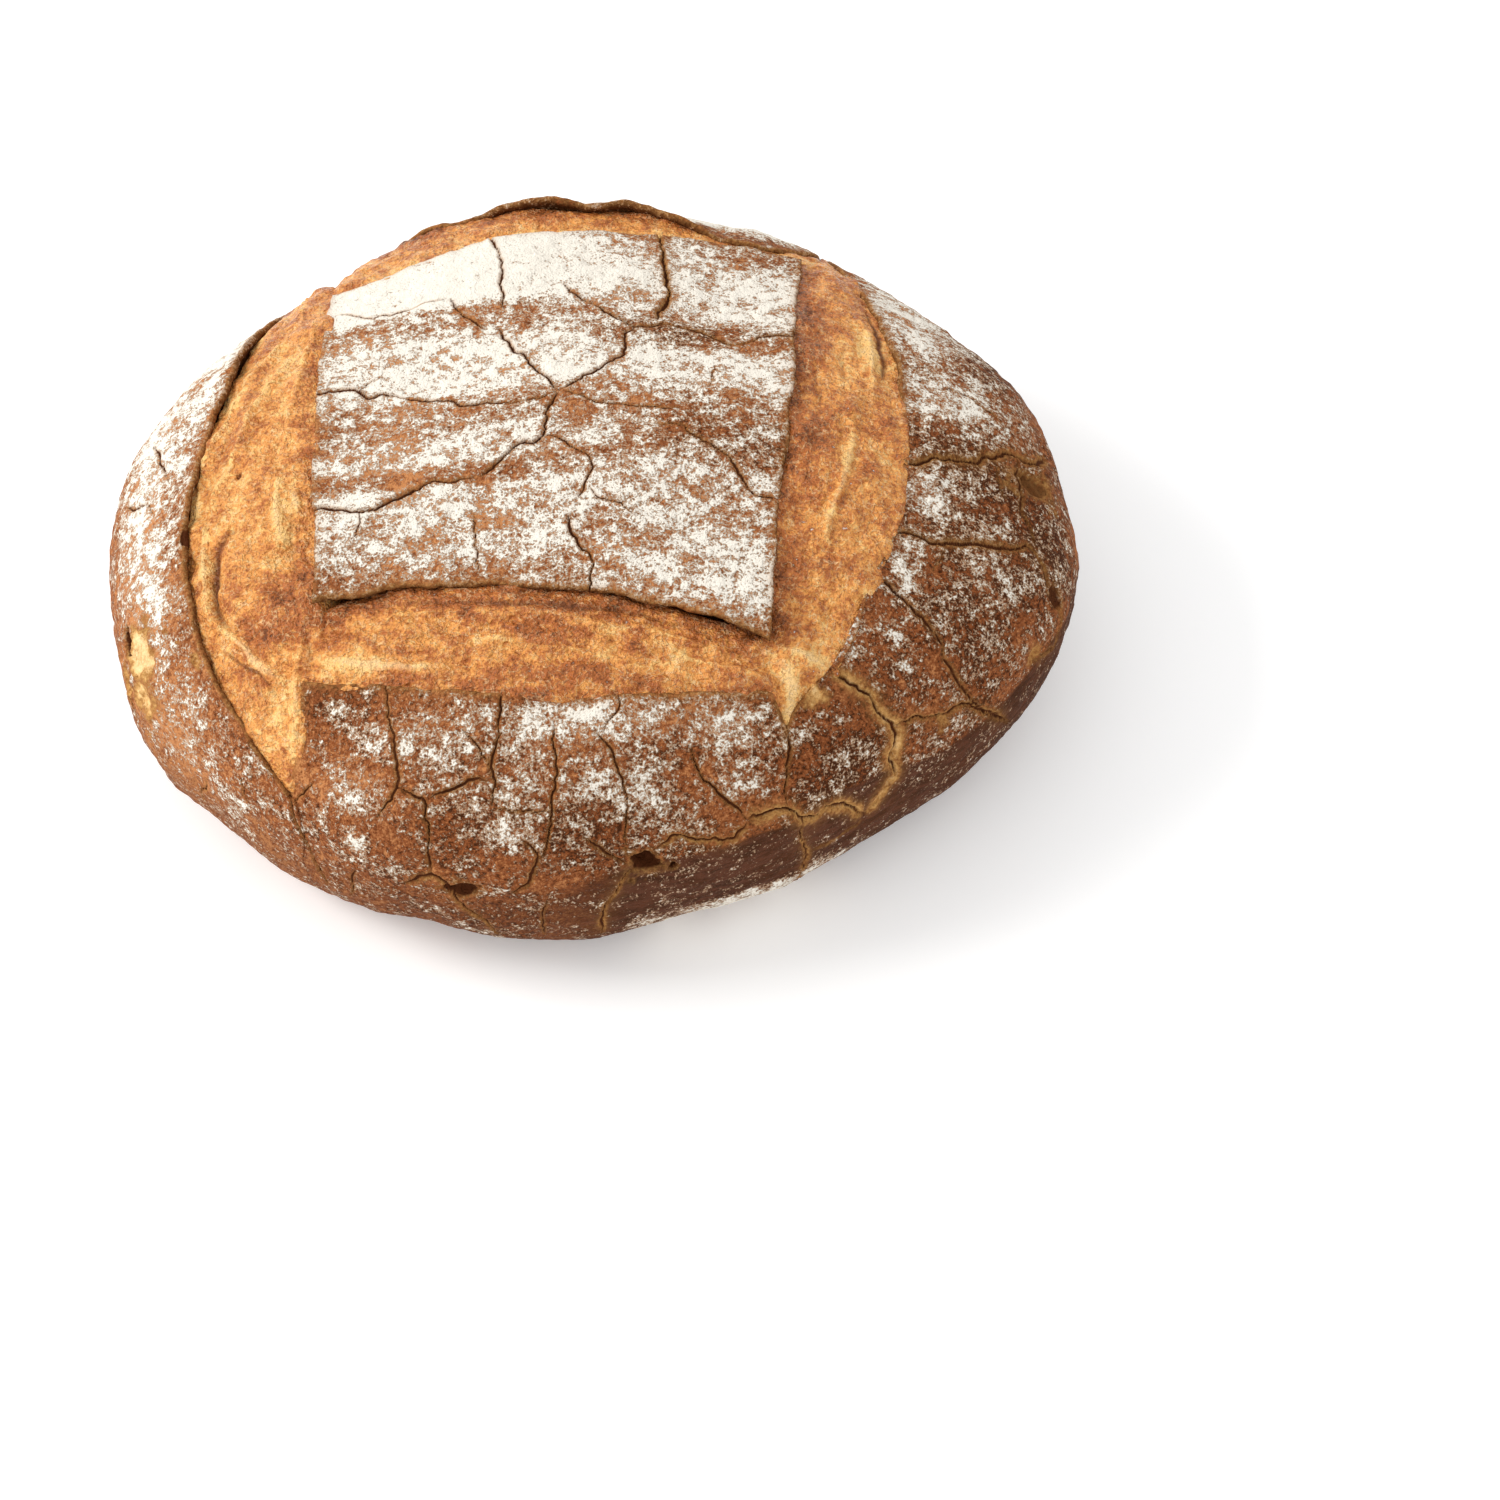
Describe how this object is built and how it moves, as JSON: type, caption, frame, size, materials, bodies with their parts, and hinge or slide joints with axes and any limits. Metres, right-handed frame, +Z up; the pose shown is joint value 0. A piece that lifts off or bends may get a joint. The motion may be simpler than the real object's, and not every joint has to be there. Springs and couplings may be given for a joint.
{
  "type": "sourdough loaf",
  "caption": "Oval sourdough loaf, uncut, with a square of slashes on top, golden risen crumb in the slashes and a cracked, floured brown crust.",
  "frame": {"origin": "centre of the loaf's plan bounding box, on the flat base it rests on", "axes": "+X along the loaf's length, to the right as seen from its front; +Y to its back; +Z up"},
  "size_m": [0.2692, 0.2376, 0.0954],
  "materials": {
    "crust": "matt browned bread crust, dusted with flour in bands, with golden crumb in the slashes"
  },
  "bodies": {
    "root": {"loaf": "crust"}
  },
  "joints": []
}
